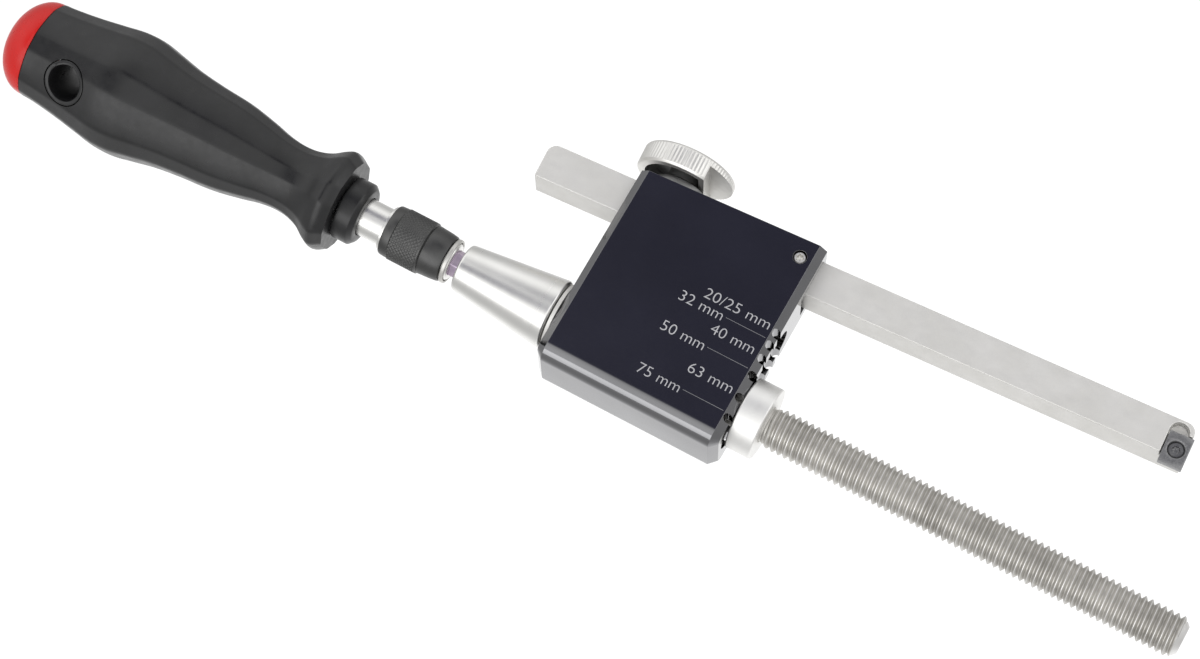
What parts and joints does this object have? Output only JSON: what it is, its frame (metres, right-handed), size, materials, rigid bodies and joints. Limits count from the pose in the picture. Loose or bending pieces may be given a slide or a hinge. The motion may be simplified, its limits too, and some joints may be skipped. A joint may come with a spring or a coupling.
{
  "type": "pipe deburring tool",
  "caption": "Rotary deburring tool for plastic pipe ends: cutter bar with carbide insert clamped in a sliding block on a threaded spindle, with a bit-holder handle.",
  "frame": {"origin": "centre of the spindle's front end face, on the tool axis", "axes": "+X along the tool axis from the handle to the spindle's tip, +Z square to the block's scale face, +Y from the spindle towards the cutter bar"},
  "size_m": [0.3326, 0.0688, 0.033],
  "materials": {
    "black_anodised": "glossy black anodised",
    "nickel": "nickel plated",
    "dark_steel": "blued tool steel",
    "ground_steel": "satin ground",
    "threaded_steel": "rolled thread",
    "turned_steel": "bright turned",
    "carbide": "matt sintered carbide",
    "brass": "turned",
    "spring_steel": "drawn wire",
    "black_oxide": "black oxide, knurled",
    "black_plastic": "satin moulded",
    "red_plastic": "glossy moulded"
  },
  "bodies": {
    "carrier": {"carrier_block": "black_anodised", "clamp_boss": "black_anodised", "grub_screw": "nickel", "gib_strip": "dark_steel"},
    "cutter": {"cutter_bar": "ground_steel", "carbide_insert": "carbide", "insert_screw": "dark_steel"},
    "pad": {"pressure_pad": "brass"},
    "thumb_screw": {"thumb_knob": "nickel", "thumb_stud": "ground_steel"},
    "spindle": {"threaded_spindle": "threaded_steel", "front_collar": "turned_steel", "hex_drive": "dark_steel"},
    "washer": {"thrust_washer": "ground_steel"},
    "clamp_nut": {"cone_nut": "turned_steel"},
    "handle": {"holder_body": "turned_steel", "snap_ring": "nickel", "socket_magnet": "nickel", "sleeve_spring": "spring_steel", "front_ring": "black_plastic", "handle_grip": "black_plastic", "handle_core": "red_plastic", "hang_eyelet": "black_plastic"},
    "sleeve": {"chuck_sleeve": "black_oxide"},
    "ball": {"locking_ball": "turned_steel"}
  },
  "joints": [
    {"name": "bar_slide", "type": "slide", "parent": "carrier", "child": "cutter", "axis": [0.9983, 0.059, 0], "range_m": [-0.03, 0.022]},
    {"name": "pad_travel", "type": "slide", "parent": "carrier", "child": "pad", "axis": [-0.059, 0.9983, 0], "range_m": [0, 0.0015]},
    {"name": "thumb_turn", "type": "hinge", "parent": "pad", "child": "thumb_screw", "pos_m": [-0.16264, 0.04741, 0], "axis": [-0.059, 0.9983, 0], "range_deg": [0, 540]},
    {"name": "size_shift", "type": "slide", "parent": "carrier", "child": "spindle", "axis": [0, 1, 0], "range_m": [-0.006, 0.019]},
    {"name": "washer_travel", "type": "slide", "parent": "spindle", "child": "washer", "axis": [1, 0, 0], "range_m": [-0.00125, 0]},
    {"name": "nut_turn", "type": "hinge", "parent": "washer", "child": "clamp_nut", "pos_m": [-0.1857, 0, 0], "axis": [1, 0, 0], "range_deg": [-360, 0]},
    {"name": "handle_pull", "type": "slide", "parent": "spindle", "child": "handle", "axis": [1, 0, 0], "range_m": [-0.0135, 0]},
    {"name": "sleeve_slide", "type": "slide", "parent": "handle", "child": "sleeve", "axis": [1, 0, 0], "range_m": [-0.003, 0], "stiffness_N_per_m": 300, "deforming": ["sleeve_spring"]},
    {"name": "ball_lift", "type": "slide", "parent": "handle", "child": "ball", "axis": [0, 0, 1], "range_m": [0, 0.0004]}
  ],
  "couplings": [
    {"joint": "thumb_turn", "follows": "pad_travel", "rad_per_m": 6283.2},
    {"joint": "nut_turn", "follows": "washer_travel", "rad_per_m": 5026.5},
    {"joint": "ball_lift", "follows": "sleeve_slide", "ratio": -0.13333}
  ]
}
